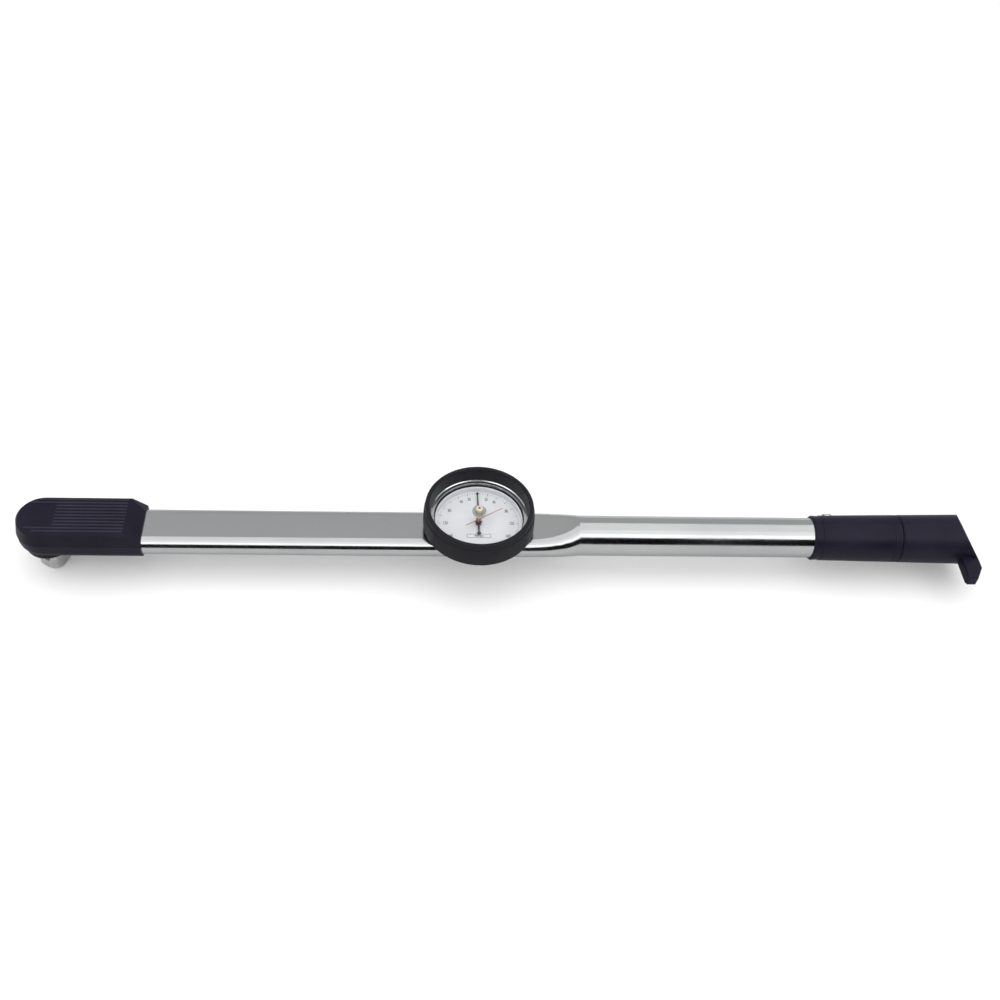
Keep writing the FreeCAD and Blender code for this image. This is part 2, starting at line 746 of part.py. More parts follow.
def make_movement():
    upper_low = inside_top - PLATE_THICK
    upper = new_body("movement_plate_upper", arm_length, 0.0, 0.0)
    pad(upper, box_outline(new_sketch(upper, "XY", upper_low), -16.5, 16.5, -8.4, 8.4), PLATE_THICK)
    holes = ring(new_sketch(upper, "XY", upper_low), 0.0, 0.0, 1.8)
    for x, y in HOUSING_SCREWS:
        ring(holes, x, y, 1.25)
    cut(upper, holes, PLATE_THICK)
    lower = new_body("movement_plate_lower", arm_length, 0.0, 0.0)
    pad(lower, box_outline(new_sketch(lower, "XY", LOWER_PLATE), -3.5, 11.5, -9.4, 9.4), PLATE_THICK)
    cut(lower, ring(new_sketch(lower, "XY", LOWER_PLATE), 0.0, 0.0, 1.8), PLATE_THICK)
    height = upper_low - (LOWER_PLATE + PLATE_THICK)
    pillar = turned("pillar", [(0.0, 0.0), (1.3, 0.0), (1.3, height), (0.0, height)], keep=False)
    base = LOWER_PLATE + PLATE_THICK
    group("movement_pillars", pillar, [at(arm_length.value + x, y, base) for x, y in PILLARS])
    arbor = 0.7 + gap
    for label, low in (("arbor_bush_upper", upper_low), ("arbor_bush_lower", as_size(LOWER_PLATE))):
        turned(label, [(arbor, low), (1.8, low), (1.8, low + PLATE_THICK), (arbor, low + PLATE_THICK)],
               x=arm_length)


def make_arbor():
    turned("pointer_arbor", [(0.0, LOWER_PLATE + 0.1), (0.7, LOWER_PLATE + 0.1), (0.7, 37.0), (0.4, 37.4),
                             (0.0, 37.4)], x=arm_length)


def make_pinion():
    """Pinion in mesh with the sector; its flanks follow the involute from the base circle to the tip."""
    body = new_body("pointer_pinion", x=arm_length)
    module = size("gear_module").value
    pitch = size("pitch_radius").value
    teeth = int(round(2 * pitch / module))
    low = 25.4
    high = 27.8
    pressure = math.radians(20.0)
    base = pitch * math.cos(pressure)
    half_at_pitch = (math.pi * module / 2 - 0.04) / 2 / pitch
    involute = math.tan(pressure) - pressure

    def half_angle(radius):
        roll = math.acos(base / radius)
        return half_at_pitch + involute - (math.tan(roll) - roll)

    root = pitch - 1.12 * module
    pad(body, ring(new_sketch(body, "XY", low), 0.0, 0.0, root), high - low)
    flank = [(root - 0.1, half_at_pitch + involute), (base, half_at_pitch + involute)]
    flank += [(r, half_angle(r)) for r in (pitch, pitch + 0.4 * module, pitch + 0.8 * module)]
    right = [(-r * math.cos(a), -r * math.sin(a)) for r, a in flank]
    left = [(x, -y) for x, y in reversed(right)]
    tooth = pad(body, outline(new_sketch(body, "XY", low), right + left), high - low)
    pattern_about_z(body, tooth, 360.0, teeth)
    cut(body, ring(new_sketch(body, "XY", low), 0.0, 0.0, 0.7), high - low)


def make_hairspring():
    """Flat spiral above the movement plate, with a collet on the arbor."""
    turns = 4.0
    inner = 1.7
    outer = 7.2
    strip = 0.12
    low = inside_top.value + 0.35
    tall = 0.8
    samples = 48

    def spiral(offset):
        points = []
        for i in range(samples + 1):
            angle = 2 * math.pi * turns * i / samples
            radius = inner + (outer - inner) * i / samples + offset
            points.append(Vector(radius * math.cos(angle), radius * math.sin(angle), low))
        curve = Part.BSplineCurve()
        curve.interpolate(points)
        return curve.toShape()

    near = spiral(-strip / 2)
    far = spiral(strip / 2)
    caps = [Part.makeLine(near.Vertexes[i].Point, far.Vertexes[i].Point) for i in (0, -1)]
    face = Part.Face(Part.Wire(Part.__sortEdges__([near, far] + caps)))
    item = doc.addObject("Part::Feature", "hairspring")
    item.Label = "hairspring"
    item.Shape = face.extrude(Vector(0, 0, tall))
    item.Placement = at(arm_length.value, 0.0, 0.0)
    subparts.append(item)
    rim = inner - strip / 2
    turned("hairspring_collet", [(0.7, low - 0.1), (rim, low - 0.1), (rim, low + tall + 0.1),
                                 (0.7, low + tall + 0.1)], x=arm_length)


def make_pointer():
    """Black pointer: hub, short crossbar, long blade to the zero and a round counterweight."""
    body = new_body("main_pointer", x=arm_length)
    low = 36.3
    blade = 0.35
    hub = 1.3
    pad(body, ring(new_sketch(body, "XY", low - 0.5), 0.0, 0.0, hub), 1.3)
    front = [(-0.7, 0.0), (0.7, 0.0), (0.28, 22.6), (-0.28, 22.6)]
    tail = [(-0.28, -8.2), (0.28, -8.2), (0.7, 0.0), (-0.7, 0.0)]
    for half in (front, tail):
        pad(body, outline(new_sketch(body, "XY", low), half), blade)
    pad(body, box_outline(new_sketch(body, "XY", low), -1.9, 1.9, -0.6, 0.6), blade)
    pad(body, ring(new_sketch(body, "XY", low), 0.0, -8.5, 1.1), blade)
    cut(body, ring(new_sketch(body, "XY", low - 0.5), 0.0, 0.0, 0.7), 1.3)


# ---------------------------------------------------------------- dial

def make_dial_housing():
    """Cast seat that straddles the tube and carries the turning bezel on its spigot."""
    spigot = size("spigot_radius")
    saddle = 23.0
    floor = 33.0
    groove = spigot - 0.6
    body = turned("dial_housing", [
        (1.6, 32.0), (APERTURE, 32.0), (APERTURE, 27.2), (saddle - 1.0, 27.2), (saddle, 28.2),
        (saddle, 31.0), (spigot, 31.2), (spigot, 32.55), (groove, 32.55), (groove, 33.35), (spigot, 33.35),
        (spigot, 34.0), (spigot - 2.0, 34.0), (spigot - 2.0, floor), (1.6, floor)], x=arm_length)
    channel = [(y, z + axis_height) + tuple(arc) for y, z, *arc in tube_section(flat_run, flat_half)]
    cut(body, outline(new_sketch(body, "YZ", -30.0), channel), 60.0)
    holes = new_sketch(body, "XY", 27.0)
    for x, y in HOUSING_SCREWS:
        ring(holes, x, y, 1.25)
    cut(body, holes, 8.0)
    bolt = screw("housing_screw", 1.25, 5.0, 2.2, 0.9, False)
    places = [at(arm_length.value + x, y, floor + 0.9) for x, y in HOUSING_SCREWS]
    group("dial_housing_screws", bolt, places)
    wire_low = 32.65
    wire_high = 33.25
    wire_in = spigot - 0.55
    wire_out = spigot + 0.35
    turned("bezel_snap_ring", [(wire_in, wire_low), (wire_out, wire_low), (wire_out, wire_high),
                               (wire_in, wire_high)], x=arm_length)


def make_bezel():
    spigot = size("spigot_radius") + gap
    outer = size("bezel_radius")
    plate = size("dial_plate_radius")
    face = size("dial_face")
    plate_low = face - size("dial_plate_thick")
    lens_low = size("lens_bottom")
    lens_top = lens_low + size("lens_thick")
    lens_radius = 26.4
    turned("bezel_ring", [
        (spigot, 31.7), (outer - 0.6, 31.7), (outer, 32.3), (outer, lens_top), (lens_radius, lens_top),
        (lens_radius, lens_low), (plate, lens_low), (plate, plate_low), (spigot, plate_low),
        (spigot, 33.6), (spigot + 0.6, 33.6), (spigot + 0.6, 32.3), (spigot, 32.3)], x=arm_length)
    turned("dial_plate", [(1.7, plate_low), (plate, plate_low), (plate, face), (1.7, face)], x=arm_length)
    spacer = 24.2
    seal_low = lens_low - 0.3
    turned("dial_spacer", [(spacer, face), (plate, face), (plate, seal_low), (spacer + 0.5, seal_low),
                           (spacer, seal_low - 0.5)], x=arm_length)
    seal = spacer + 0.5
    turned("lens_seal", [(seal, seal_low), (plate, seal_low), (plate, lens_low), (seal, lens_low)],
           x=arm_length)
    shaft_hole = 0.8 + gap
    turned("dial_lens", [(shaft_hole, lens_low), (lens_radius, lens_low), (lens_radius, lens_top),
                         (shaft_hole, lens_top)], x=arm_length)
    turned("lens_ring", [(25.3, lens_top), (outer, lens_top), (outer, lens_top + 0.9),
                         (27.3, lens_top + 0.9), (26.9, lens_top + 0.45), (25.3, lens_top + 0.35)],
           x=arm_length)


def make_boot():
    """Rubber boot round the bezel: a plain skirt, a groove, and a narrower lip above it."""
    inner = size("bezel_radius")
    low = size("boot_bottom")
    top = size("boot_top")
    outer = size("boot_radius")
    rim = size("boot_rim_radius")
    groove = top - 3.9
    turned("dial_boot", [
        (inner, low), (outer - 0.9, low), (outer - 0.2, low + 0.7, 60.0), (outer - 0.5, groove - 0.4),
        (rim - 0.05, groove), (rim - 0.05, groove + 0.4), (rim + 0.25, groove + 0.7),
        (rim, top - 0.9, 0.9), (rim - 0.9, top), (inner + 0.7, top, 0.7), (inner, top - 0.7)], x=arm_length)


def make_memory_hand():
    """Thin drag hand under the lens, its knob above it, and the clear disc that the fingers turn."""
    lens_top = size("lens_bottom").value + size("lens_thick").value
    low = 38.5
    blade = 0.3
    knob_low = lens_top + 0.3
    hand = new_body("memory_pointer", x=arm_length)
    pad(hand, ring(new_sketch(hand, "XY", low), 0.0, 0.0, 1.5), 0.6)
    front = [(-0.3, 0.0), (0.3, 0.0), (0.12, 16.2), (-0.12, 16.2)]
    tail = [(-0.16, -8.5), (0.16, -8.5), (0.3, 0.0), (-0.3, 0.0)]
    for half in (front, tail):
        pad(hand, outline(new_sketch(hand, "XY", low), half), blade)
    cut(hand, ring(new_sketch(hand, "XY", low), 0.0, 0.0, 0.8), 0.6)
    hand.Placement = Placement(Vector(arm_length.value, 0, 0), Rotation(Vector(0, 0, 1), -MEMORY_REST))
    bind(hand, "Placement.Base.x", arm_length)
    turned("memory_shaft", [(0.0, low), (0.8, low), (0.8, knob_low), (0.0, knob_low)], x=arm_length)
    radius = size("knob_radius")
    top = size("knob_top")
    turned("reset_knob", [(0.0, knob_low), (radius - 0.3, knob_low), (radius - 0.3, knob_low + 1.2),
                          (radius, knob_low + 1.6), (radius, top - 0.6, 0.6), (radius - 0.6, top),
                          (0.7, top), (0.7, top - 0.4), (0.0, top - 0.4)], x=arm_length)
    disc = 3.9
    disc_low = 44.4
    disc_high = 46.2
    turned("knob_disc", [(radius, disc_low), (disc - 0.3, disc_low, 0.3), (disc, disc_low + 0.3),
                         (disc, disc_high - 0.3, 0.3), (disc - 0.3, disc_high), (radius, disc_high)],
           x=arm_length)


# ---------------------------------------------------------------- grip

def make_grip():
    start = size("grip_start")
    collar_end = start + size("grip_collar")
    lock_x = collar_end + LOCK_SCREW_SET
    split = size("grip_split")
    front = size("grip_front_radius")
    end_radius = size("grip_end_radius")
    middle = (front + end_radius) * 0.5
    turned_along_x("grip_collar", [
        (start, tube_radius), (collar_end, tube_radius), (collar_end, front - 0.35),
        (start + 0.9, front - 0.1), (start, front - 0.9)])
    rings = []
    for back in (5.2, 3.6, 2.0):
        x = split - back
        rings += [(x + 0.5, middle - 0.1), (x + 0.35, middle - 0.4),
                  (x - 0.35, middle - 0.4), (x - 0.5, middle - 0.1)]
    rings.sort(key=lambda corner: -corner[0].value)
    grip = turned_along_x("grip_front", [
        (collar_end, tube_radius), (split - 0.3, tube_radius), (split - 0.3, middle - 0.7),
        (split - 0.8, middle - 0.1)] + rings + [(collar_end + 0.6, front), (collar_end, front - 0.5)])
    make_hook_grip(split, middle, end_radius)
    plug_end = size("tube_end")
    plug_start = plug_end - 14.0
    turned_along_x("tube_plug", [
        (plug_start, 0.0), (plug_start, bore_radius - 1.0), (plug_start + 1.0, bore_radius),
        (plug_end, bore_radius), (plug_end, 0.0)])
    leaning = tilted_sketch(grip, Placement(Vector(0, 0, 0), Rotation(Vector(1, 0, 0), -LOCK_LEAN)))
    cut(grip, ring(leaning, lock_x, 0.0, LOCK_HEAD), end_radius)
    bolt = screw("grip_lock_screw", LOCK_SCREW, 3.4, LOCK_HEAD, 1.3, False)
    lean = math.radians(LOCK_LEAN)
    out = tube_radius.value + 2.3
    place = at(lock_x.value, out * math.sin(lean), axis_height.value + out * math.cos(lean), turn=-LOCK_LEAN)
    group("grip_screw", bolt, [place])


def make_hook_grip(split, middle, end_radius):
    """Rear half of the grip: a slanted end and a hook that lies in the plane of the swing."""
    end_x = 531.6
    top = 0.4                       # of the hook, above the tube's axis
    root_y = -6.0                   # the hook starts inside the round part
    edge_y = -21.3                  # where the hook's outer corner is cut off
    end_facing = (1.0, 0.0715, 0.72)
    body = new_body("grip_hook", z=axis_height)
    bulk = [(split, tube_radius), (size("tube_end"), tube_radius), (size("tube_end"), 0.0), (end_x, 0.0),
            (end_x, end_radius), (split + 0.8, middle), (split, middle - 0.6)]
    spin(body, outline(new_sketch(body, "XZ"), bulk), axis="H_Axis")
    inner = size("hook_inner")
    reach = size("hook_reach")
    hook = [(inner, root_y), (inner, -(reach - 1.6)), (inner + 1.2, -reach), (inner + 5.8, -reach),
            (end_x, edge_y), (end_x, root_y)]
    pad(body, outline(new_sketch(body, "XY", top), hook), size("hook_thick"), Reversed=True)
    fillet(body, lambda p, e: p.y < -15.2 and abs(e.tangentAt(e.FirstParameter).z) < 0.3, 1.3)
    slice_off(body, (end_x - 0.3, edge_y, top), end_facing)


def make_everything():
    make_tube()
    make_cheeks()
    make_bushes()
    make_upper_cover()
    make_lower_cover()
    make_spindle()
    make_detent()
    make_beam()
    make_circlip()
    make_measuring_arm()
    make_load_block()
    make_movement()
    make_arbor()
    make_pinion()
    make_hairspring()
    make_pointer()
    make_dial_housing()
    make_bezel()
    make_boot()
    make_memory_hand()
    make_grip()


make_everything()
doc.recompute()

faults = []
for item in doc.Objects:
    if "Invalid" in item.State or "Error" in item.State:
        faults.append("{} is {}".format(item.Label, item.State))
for item in subparts:
    if item.Shape.isNull() or not item.Shape.isValid():
        faults.append("{} has no valid shape".format(item.Label))
    print("{:24s} solids {} volume {:10.1f}".format(item.Label, len(item.Shape.Solids), item.Shape.Volume))
if faults:
    raise SystemExit("\n".join(faults))

os.makedirs("parts", exist_ok=True)
for item in subparts:
    item.Shape.exportStep("parts/{}.step".format(item.Label))
print("{} sub-parts written".format(len(subparts)))
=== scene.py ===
"""The dial torque wrench, in metres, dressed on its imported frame: finishes, print, studio and camera."""

import math

import bmesh
import bpy
from mathutils import Matrix, Vector


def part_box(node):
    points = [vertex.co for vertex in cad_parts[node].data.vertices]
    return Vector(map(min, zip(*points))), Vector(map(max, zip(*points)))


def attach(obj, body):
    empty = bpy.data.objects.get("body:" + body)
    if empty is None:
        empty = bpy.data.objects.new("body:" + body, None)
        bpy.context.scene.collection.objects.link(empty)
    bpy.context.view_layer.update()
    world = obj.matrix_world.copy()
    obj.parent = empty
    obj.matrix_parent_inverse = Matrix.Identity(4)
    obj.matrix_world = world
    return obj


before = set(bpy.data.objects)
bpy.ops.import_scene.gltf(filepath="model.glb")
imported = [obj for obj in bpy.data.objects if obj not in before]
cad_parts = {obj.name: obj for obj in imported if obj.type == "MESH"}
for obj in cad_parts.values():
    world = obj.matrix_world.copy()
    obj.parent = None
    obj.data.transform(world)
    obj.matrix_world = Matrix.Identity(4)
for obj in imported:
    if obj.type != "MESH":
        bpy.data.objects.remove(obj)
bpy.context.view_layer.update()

MM = 0.001
scene = bpy.context.scene


# ---------------------------------------------------------------- materials

class Look:
    """What one procedural material needs.

    base and tint are the two colours that it drifts between and spread is how far its roughness drifts.
    grain and patch are the scales of its fine and its broad noise. relief and edge are in millimetres.
    """

    def __init__(self, base, tint, metallic, roughness, spread=0.06, grain=900.0, stretch=(1.0, 1.0, 1.0),
                 relief=0.01, patch=28.0, edge=0.0, wear=None, wear_amount=0.0, specular=0.5):
        self.base = base
        self.tint = tint
        self.metallic = metallic
        self.roughness = roughness
        self.spread = spread
        self.grain = grain
        self.stretch = stretch
        self.relief = relief
        self.patch = patch
        self.edge = edge
        self.wear = wear
        self.wear_amount = wear_amount
        self.specular = specular


LOOKS = {
    "chrome_tube": Look((0.66, 0.67, 0.67), (0.60, 0.61, 0.62), 1.0, 0.17, 0.05, grain=2600.0,
                        stretch=(0.05, 1.0, 1.0), relief=0.0035, patch=22.0),
    "black_plastic": Look((0.0060, 0.0048, 0.0125), (0.0105, 0.0088, 0.0200), 0.0, 0.40, 0.06, grain=2400.0,
                          relief=0.010, patch=40.0, edge=0.30, wear=(0.075, 0.070, 0.105), wear_amount=0.7,
                          specular=0.17),
    "zinc_steel": Look((0.52, 0.51, 0.47), (0.42, 0.42, 0.40), 1.0, 0.34, 0.08, grain=1800.0, relief=0.006,
                       edge=0.15, wear=(0.70, 0.70, 0.69), wear_amount=0.5),
    "machined_steel": Look((0.46, 0.46, 0.47), (0.38, 0.38, 0.40), 1.0, 0.30, 0.08, grain=2200.0,
                           stretch=(0.1, 1.0, 1.0), relief=0.006, edge=0.15, wear=(0.62, 0.62, 0.62),
                           wear_amount=0.5),
    "drive_steel": Look((0.90, 0.90, 0.89), (0.72, 0.72, 0.73), 1.0, 0.38, 0.10, grain=1500.0,
                        stretch=(1.0, 1.0, 0.12), relief=0.006, patch=160.0, edge=0.25,
                        wear=(0.96, 0.96, 0.96), wear_amount=0.7),
    "spring_steel": Look((0.33, 0.33, 0.36), (0.24, 0.25, 0.30), 1.0, 0.32, 0.08, grain=2000.0,
                         relief=0.005),
    "bronze": Look((0.50, 0.30, 0.14), (0.40, 0.24, 0.11), 1.0, 0.42, 0.08, grain=2600.0, relief=0.008),
    "movement_brass": Look((0.66, 0.49, 0.21), (0.56, 0.41, 0.17), 1.0, 0.28, 0.07, grain=2000.0,
                           stretch=(0.1, 1.0, 1.0), relief=0.005),
    "cast_aluminium": Look((0.42, 0.42, 0.43), (0.34, 0.34, 0.35), 1.0, 0.48, 0.09, grain=1300.0,
                           relief=0.02, edge=0.2, wear=(0.62, 0.62, 0.62), wear_amount=0.5),
    "bright_ring": Look((0.80, 0.82, 0.82), (0.72, 0.75, 0.76), 1.0, 0.11, 0.04, grain=1600.0, relief=0.002,
                        patch=60.0, edge=0.12, wear=(0.90, 0.90, 0.90), wear_amount=0.4),
    "boot_rubber": Look((0.00504, 0.00504, 0.00792), (0.00792, 0.00792, 0.01116), 0.0, 0.50, 0.08,
                        grain=1900.0, relief=0.014, patch=90.0, edge=0.35, wear=(0.045, 0.045, 0.055),
                        wear_amount=0.5, specular=0.25),
    "dial_white": Look((0.672, 0.6804, 0.7056), (0.63, 0.6384, 0.672), 0.0, 0.45, 0.06, grain=2500.0,
                       relief=0.002, patch=70.0),
    "dial_black": Look((0.012, 0.012, 0.015), (0.020, 0.020, 0.025), 0.0, 0.38, 0.08, grain=3000.0,
                       relief=0.003, patch=120.0),
    "memory_red": Look((0.36, 0.15, 0.12), (0.44, 0.21, 0.17), 0.0, 0.40, 0.08, grain=3000.0, relief=0.003,
                       patch=120.0),
    "knob_brass": Look((0.80, 0.74, 0.56), (0.68, 0.60, 0.42), 0.55, 0.34, 0.08, grain=2200.0, relief=0.006,
                       patch=260.0, edge=0.15, wear=(0.90, 0.86, 0.72), wear_amount=0.5),
    "plug_plastic": Look((0.030, 0.030, 0.034), (0.040, 0.040, 0.044), 0.0, 0.50, 0.07, grain=1800.0,
                         relief=0.010, edge=0.25, wear=(0.09, 0.09, 0.10), wear_amount=0.5),
}


def rgba(colour):
    return (colour[0], colour[1], colour[2], 1.0)


def noise_node(tree, vector, scale, detail):
    noise = tree.nodes.new("ShaderNodeTexNoise")
    noise.inputs["Scale"].default_value = scale
    noise.inputs["Detail"].default_value = detail
    noise.inputs["Roughness"].default_value = 0.55
    tree.links.new(vector, noise.inputs["Vector"])
    return noise.outputs["Fac"]


def math_node(tree, operation, first, second, clamp=False):
    """Do sums on two values, each given as a number or as a node's output."""
    node = tree.nodes.new("ShaderNodeMath")
    node.operation = operation
    node.use_clamp = clamp
    for socket, value in ((node.inputs[0], first), (node.inputs[1], second)):
        if isinstance(value, (int, float)):
            socket.default_value = value
        else:
            tree.links.new(value, socket)
    return node.outputs[0]


def range_node(tree, value, low, high, from_low=0.3, from_high=0.7):
    """Carry a value from one span to another, held at both ends; noise mostly lies within 0.3 to 0.7."""
    node = tree.nodes.new("ShaderNodeMapRange")
    node.inputs["From Min"].default_value = from_low
    node.inputs["From Max"].default_value = from_high
    node.inputs["To Min"].default_value = low
    node.inputs["To Max"].default_value = high
    tree.links.new(value, node.inputs["Value"])
    return node.outputs["Result"]


def mix_node(tree, factor, first, second):
    """Blend two colours, each given as a tuple or as a node's output."""
    node = tree.nodes.new("ShaderNodeMix")
    node.data_type = "RGBA"
    tree.links.new(factor, node.inputs[0])
    for socket, value in ((node.inputs[6], first), (node.inputs[7], second)):
        if isinstance(value, tuple):
            socket.default_value = rgba(value)
        else:
            tree.links.new(value, socket)
    return node.outputs[2]


def blank_material(name):
    """A material with one shader; returns it with its tree, that shader and the object's own coordinates."""
    material = bpy.data.materials.new(name)
    material.use_nodes = True
    tree = material.node_tree
    tree.nodes.clear()
    output = tree.nodes.new("ShaderNodeOutputMaterial")
    shader = tree.nodes.new("ShaderNodeBsdfPrincipled")
    tree.links.new(shader.outputs["BSDF"], output.inputs["Surface"])
    coords = tree.nodes.new("ShaderNodeTexCoord")
    return material, tree, shader, coords.outputs["Object"]


def make_material(name, look, painted_highlight_height=None):
    """Principled material with grain, patchy colour and shine, relief, soft edges and wear on them.

    Whatever stands above the height given last, in metres, is painted paler: a painted highlight on raised
    tops such as ribs.
    """
    material, tree, shader, place = blank_material(name)
    stretch = tree.nodes.new("ShaderNodeMapping")
    stretch.inputs["Scale"].default_value = look.stretch
    tree.links.new(place, stretch.inputs["Vector"])
    fine = noise_node(tree, stretch.outputs["Vector"], look.grain, 3.0)
    broad = noise_node(tree, place, look.patch, 4.0)
    fine_share = 0.35
    blend = math_node(tree, "ADD", math_node(tree, "MULTIPLY", fine, fine_share),
                      math_node(tree, "MULTIPLY", broad, 1.0 - fine_share))
    colour = mix_node(tree, range_node(tree, blend, 0.0, 1.0, 0.38, 0.62), look.base, look.tint)
    shine = range_node(tree, blend, look.roughness - look.spread, look.roughness + look.spread, 0.35, 0.65)
    bump = tree.nodes.new("ShaderNodeBump")
    bump.inputs["Strength"].default_value = 1.0
    bump.inputs["Distance"].default_value = look.relief * MM
    tree.links.new(fine, bump.inputs["Height"])
    if look.edge:
        rounded = tree.nodes.new("ShaderNodeBevel")
        rounded.samples = 6
        rounded.inputs["Radius"].default_value = look.edge * MM
        tree.links.new(rounded.outputs["Normal"], bump.inputs["Normal"])
        surface = tree.nodes.new("ShaderNodeNewGeometry")
        facing = tree.nodes.new("ShaderNodeVectorMath")
        facing.operation = "DOT_PRODUCT"
        tree.links.new(rounded.outputs["Normal"], facing.inputs[0])
        tree.links.new(surface.outputs["Normal"], facing.inputs[1])
        rubbed = range_node(tree, facing.outputs["Value"], look.wear_amount, 0.0, 0.72, 0.98)
        worn = math_node(tree, "MULTIPLY", rubbed, range_node(tree, broad, 0.25, 1.0), clamp=True)
        colour = mix_node(tree, worn, colour, look.wear)
    # painted highlight: above the given height the colour is mixed in patches towards the paler edge-wear
    # colour
    if painted_highlight_height:
        blur = 0.1 * MM
        strength = 0.34
        apart = tree.nodes.new("ShaderNodeSeparateXYZ")
        tree.links.new(place, apart.inputs["Vector"])
        painted_highlight = range_node(tree, apart.outputs["Z"], 0.0, strength, painted_highlight_height, painted_highlight_height + blur)
        painted_highlight = math_node(tree, "MULTIPLY", painted_highlight, range_node(tree, broad, 0.6, 1.0), clamp=True)
        colour = mix_node(tree, painted_highlight, colour, look.wear)
    tree.links.new(colour, shader.inputs["Base Color"])
    tree.links.new(shine, shader.inputs["Roughness"])
    tree.links.new(bump.outputs["Normal"], shader.inputs["Normal"])
    shader.inputs["Metallic"].default_value = look.metallic
    shader.inputs["Specular IOR Level"].default_value = look.specular
    return material


def make_clear(name, colour, haze):
    """Clear acrylic: see-through where faced, mirror-like at a glancing angle, faintly smudged.

    haze is the share of light that it stops where it is faced.
    """
    material, tree, shader, place = blank_material(name)
    smudge = noise_node(tree, place, 120.0, 4.0)
    tree.links.new(range_node(tree, smudge, 0.015, 0.06), shader.inputs["Roughness"])
    gloss = tree.nodes.new("ShaderNodeLayerWeight")
    gloss.inputs["Blend"].default_value = 0.5
    mirror_share = 0.8
    glancing = math_node(tree, "POWER", gloss.outputs["Facing"], 4.0)
    alpha = math_node(tree, "ADD", math_node(tree, "MULTIPLY", glancing, mirror_share),
                      range_node(tree, smudge, haze, haze + 0.02), clamp=True)
    tree.links.new(alpha, shader.inputs["Alpha"])
    shader.inputs["Base Color"].default_value = rgba(colour)
    shader.inputs["Metallic"].default_value = 1.0
    return material


MATERIALS = {name: make_material(name + "_finish", look) for name, look in LOOKS.items()}
MATERIALS["clear_lens"] = make_clear("clear_lens_finish", (0.93, 0.95, 0.95), 0.03)

# above this height the tops of the head cover's ribs get a painted highlight
RIB_FOOT = 38.5 * MM        # just above the flat that the head cover's ribs stand on
OWN_FINISH = {
    "knob_disc": make_clear("knob_acrylic_finish", (0.50, 0.52, 0.54), 0.42),
    "head_cover_upper": make_material("ribbed_plastic_finish", LOOKS["black_plastic"], RIB_FOOT),
}

for name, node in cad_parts.items():
    for index, given in enumerate(node.data.materials):
        shared = MATERIALS[given.name.split(".")[0]]
        node.data.materials[index] = OWN_FINISH.get(name, shared)


# ---------------------------------------------------------------- dial print

def piece(name, mesh, body, slot):
    """A new object that rides on a body and takes its finish from a slot."""
    item = bpy.data.objects.new(name, mesh)
    scene.collection.objects.link(item)
    item.data.materials.clear()
    item.data.materials.append(MATERIALS[slot])
    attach(item, body)
    return item


def mesh_from(name, build):
    """A mesh filled by a function that adds to a bmesh."""
    shape = bmesh.new()
    build(shape)
    bmesh.ops.recalc_face_normals(shape, faces=shape.faces)
    mesh = bpy.data.meshes.new(name)
    shape.to_mesh(mesh)
    shape.free()
    return mesh


def prism(shape, corners, low, high):
    """A closed upright block over a flat outline."""
    bottom = [shape.verts.new((x, y, low)) for x, y in corners]
    top = [shape.verts.new((x, y, high)) for x, y in corners]
    count = len(corners)
    shape.faces.new(bottom[::-1])
    shape.faces.new(top)
    for i in range(count):
        following = (i + 1) % count
        shape.faces.new((bottom[i], bottom[following], top[following], top[i]))


plate_low, plate_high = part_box("dial_plate")
DIAL_X = (plate_low[0] + plate_high[0]) / 2
DIAL_Y = (plate_low[1] + plate_high[1]) / 2
FACE = plate_high[2]
INK_LOW = FACE + 0.01 * MM
INK_HIGH = FACE + 0.03 * MM

SCALE_TOP = 200             # newton metres at the end of each half of the scale
DEGREES_PER_UNIT = 0.75
MINOR_STEP = 5
MAJOR_STEP = 20
NUMBERS = (20, 40, 80, 120, 160, 200)
NUMBER_RADIUS = 18.8 * MM
NUMBER_HEIGHT = 2.2 * MM
RIM = 23.3 * MM             # outer end of every tick
MAJOR_TICK = (21.5 * MM, 0.26 * MM)     # inner end and width
MINOR_TICK = (22.3 * MM, 0.16 * MM)


def on_dial(radius, clockwise):
    """Point on the dial at a radius and a clockwise angle from the zero."""
    angle = math.radians(clockwise)
    return (DIAL_X + radius * math.sin(angle), DIAL_Y + radius * math.cos(angle))


def tick(shape, clockwise, inner, width):
    """One line of the scale, from its inner end out to the rim."""
    half = width / 2
    centre = Vector((DIAL_X, DIAL_Y))
    along = Vector(on_dial(1.0, clockwise)) - centre
    across = Vector((along.y, -along.x))
    corners = [centre + along * inner - across * half, centre + along * inner + across * half,
               centre + along * RIM + across * half, centre + along * RIM - across * half]
    prism(shape, corners, INK_LOW, INK_HIGH)


def scale_ticks(shape):
    """A tick for every minor step, longer and wider on the major ones."""
    for value in range(-SCALE_TOP, SCALE_TOP + 1, MINOR_STEP):
        inner, width = MAJOR_TICK if value % MAJOR_STEP == 0 else MINOR_TICK
        tick(shape, value * DEGREES_PER_UNIT, inner, width)


def zero_mark(shape):
    """Small wedge that points at the zero from the rim."""
    tip = 20.6 * MM
    base = 23.4 * MM
    half_angle = 2.6
    corners = [on_dial(tip, 0.0), on_dial(base, half_angle), on_dial(base, -half_angle)]
    prism(shape, corners, INK_LOW, INK_HIGH + 0.02 * MM)


